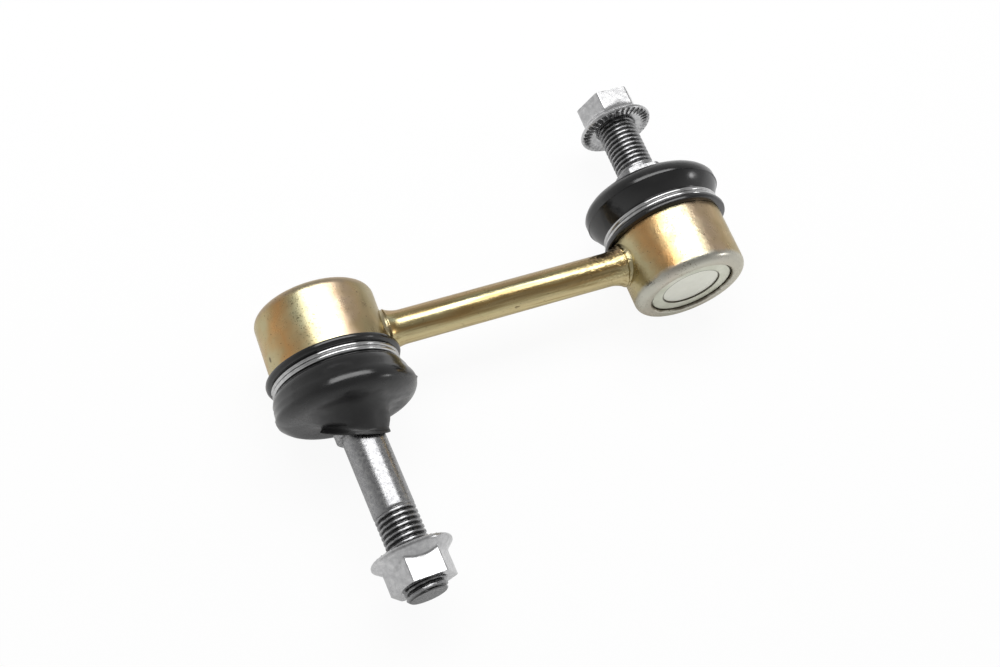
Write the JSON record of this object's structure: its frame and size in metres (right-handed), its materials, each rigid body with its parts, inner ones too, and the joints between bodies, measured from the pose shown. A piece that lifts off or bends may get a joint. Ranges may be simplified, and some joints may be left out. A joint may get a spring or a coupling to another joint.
{
  "type": "stabilizer link",
  "caption": "Stabilizer link with a welded rod between ball joints whose threaded studs point opposite ways, sealed by rubber boots and carrying flange nuts.",
  "frame": {"origin": "centre of the collar face of the short stud, where the arm's eye seats", "axes": "+X along the rod from the long stud's end to the short stud's end, +Y along the short stud out of its boot, +Z across both"},
  "size_m": [0.1261, 0.1104, 0.0348],
  "materials": {
    "plated_steel": "yellow zinc plating, bright, slightly iridescent",
    "cover_steel": "pressed plate, pale zinc",
    "seat_plastic": "acetal",
    "stud_steel": "bare forged and rolled steel",
    "boot_rubber": "satin black moulded rubber",
    "wire_steel": "drawn spring wire",
    "ring_plastic": "moulded stiffener",
    "nut_steel": "bright zinc"
  },
  "bodies": {
    "link": {"link_rod": "plated_steel", "long_weld": "plated_steel", "short_weld": "plated_steel", "long_housing": "plated_steel", "short_housing": "plated_steel", "long_cover": "cover_steel", "short_cover": "cover_steel", "long_seat_cup": "seat_plastic", "short_seat_cup": "seat_plastic", "long_seat_ring": "seat_plastic", "short_seat_ring": "seat_plastic"},
    "long_boot": {"long_boot": "boot_rubber", "long_clamp": "wire_steel"},
    "long_neck": {"long_neck_ring": "ring_plastic"},
    "long_stud": {"long_stud": "stud_steel"},
    "long_nut": {"long_nut": "nut_steel"},
    "short_boot": {"short_boot": "boot_rubber", "short_clamp": "wire_steel"},
    "short_neck": {"short_neck_ring": "ring_plastic"},
    "short_stud": {"short_stud": "stud_steel"},
    "short_nut": {"short_nut": "nut_steel"}
  },
  "joints": [
    {"name": "long_boot_turn", "type": "hinge", "parent": "link", "child": "long_boot", "pos_m": [-0.0913, -0.0235, 0], "axis": [0, -1, 0], "continuous": true},
    {"name": "long_tilt", "type": "hinge", "parent": "long_boot", "child": "long_neck", "pos_m": [-0.0913, -0.0235, 0], "axis": [0, 0, 1], "range_deg": [-23, 17], "deforming": ["long_boot"]},
    {"name": "long_spin", "type": "hinge", "parent": "long_neck", "child": "long_stud", "pos_m": [-0.0913, -0.0235, 0], "axis": [0.0523, -0.9986, 0], "continuous": true},
    {"name": "long_nut_run", "type": "slide", "parent": "long_stud", "child": "long_nut", "axis": [0.0523, -0.9986, 0], "range_m": [-0.0085, 0.045]},
    {"name": "short_boot_turn", "type": "hinge", "parent": "link", "child": "short_boot", "pos_m": [0, -0.0235, 0], "axis": [0, 1, 0], "continuous": true},
    {"name": "short_tilt", "type": "hinge", "parent": "short_boot", "child": "short_neck", "pos_m": [0, -0.0235, 0], "axis": [0, 0, 1], "range_deg": [-20, 20], "deforming": ["short_boot"]},
    {"name": "short_spin", "type": "hinge", "parent": "short_neck", "child": "short_stud", "pos_m": [0, -0.0235, 0], "axis": [0, 1, 0], "continuous": true},
    {"name": "short_nut_run", "type": "slide", "parent": "short_stud", "child": "short_nut", "axis": [0, 1, 0], "range_m": [-0.0135, 0.045]}
  ]
}
